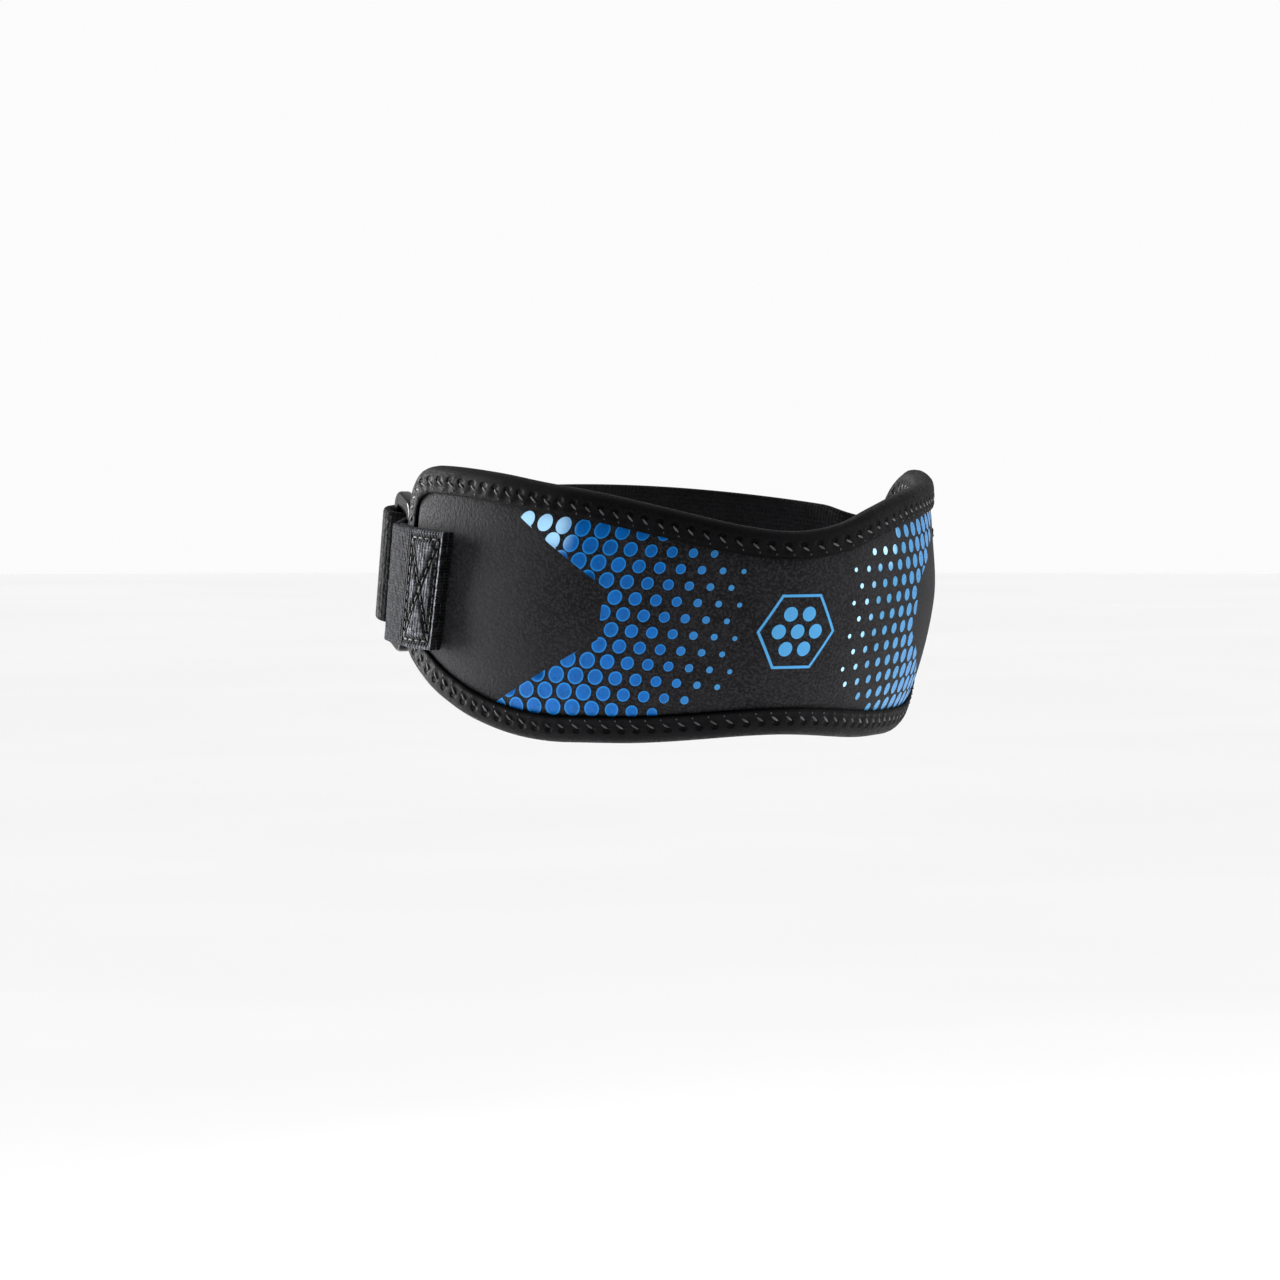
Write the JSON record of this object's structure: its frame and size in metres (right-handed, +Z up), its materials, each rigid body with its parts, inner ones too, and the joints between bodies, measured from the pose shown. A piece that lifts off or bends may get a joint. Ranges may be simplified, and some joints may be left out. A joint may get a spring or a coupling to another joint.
{
  "type": "patella strap",
  "caption": "Strap worn below the kneecap: a contoured padded band with bound edges in front, and a narrow strap round the back that runs through a ring and folds over itself.",
  "frame": {"origin": "middle of the leg opening, 32 mm above the pad's lower edge in front", "axes": "+Z up the leg, the front of the pad faces -Y, the ring is on the -X side"},
  "size_m": [0.1404, 0.1402, 0.0655],
  "materials": {
    "pad_cloth": "knitted cloth on foam, matte",
    "tape_cloth": "stretch tape, soft sheen",
    "ring_plastic": "satin",
    "webbing": "coarse loop webbing, matte",
    "strap_cloth": "brushed loop cloth, matte",
    "patch": "hook tape, matte"
  },
  "bodies": {
    "root": {"pad": "pad_cloth", "edge_tape": "tape_cloth", "ring": "ring_plastic", "ring_webbing": "webbing", "strap": "strap_cloth", "fastening_patch": "patch"}
  },
  "joints": []
}
